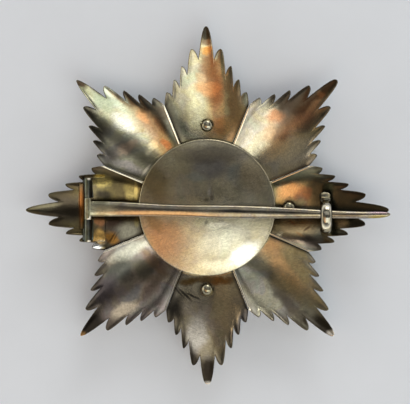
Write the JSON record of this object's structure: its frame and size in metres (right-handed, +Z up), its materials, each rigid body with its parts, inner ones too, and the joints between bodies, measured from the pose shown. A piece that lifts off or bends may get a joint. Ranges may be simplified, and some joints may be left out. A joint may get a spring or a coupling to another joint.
{
  "type": "breast star of an order, lying on its face with its back up",
  "caption": "Serrated rayed breast star lying face down: domed back disc, spanner nuts, and a long hinged pin held under a hook catch.",
  "frame": {"origin": "centre of the star on the surface that it lies on, on the front medallion's flat face", "axes": "+Z up, out of the star's back; +Y towards the north ray, which is the picture's upper edge; +X towards the catch"},
  "size_m": [0.0856, 0.0842, 0.0114],
  "materials": {
    "silver_ray_light": "tarnished silver, softly worn",
    "silver_ray_dark": "dark tarnished silver",
    "silver_disc": "tarnished silver, finely scratched",
    "silver_bright": "polished silver",
    "silver_front": "plain silver",
    "wire": "dark drawn wire"
  },
  "bodies": {
    "star": {"ray_n": "silver_ray_light", "ray_ne": "silver_ray_light", "ray_e_with_catch": "silver_ray_dark", "ray_se": "silver_ray_dark", "ray_s": "silver_ray_dark", "ray_sw": "silver_ray_dark", "ray_w_with_hinge": "silver_ray_light", "ray_nw": "silver_ray_light", "back_disc": "silver_disc", "front_medallion": "silver_front", "nut_n": "silver_bright", "nut_e": "silver_bright", "nut_s": "silver_bright", "nut_w": "silver_bright", "hinge_wire": "wire"},
    "pin": {"pin": "silver_bright"}
  },
  "joints": [
    {"name": "pin_swing", "type": "hinge", "parent": "star", "child": "pin", "pos_m": [-0.02805, 0, 0.0082], "axis": [0, -1, 0], "range_deg": [0, 150]}
  ]
}
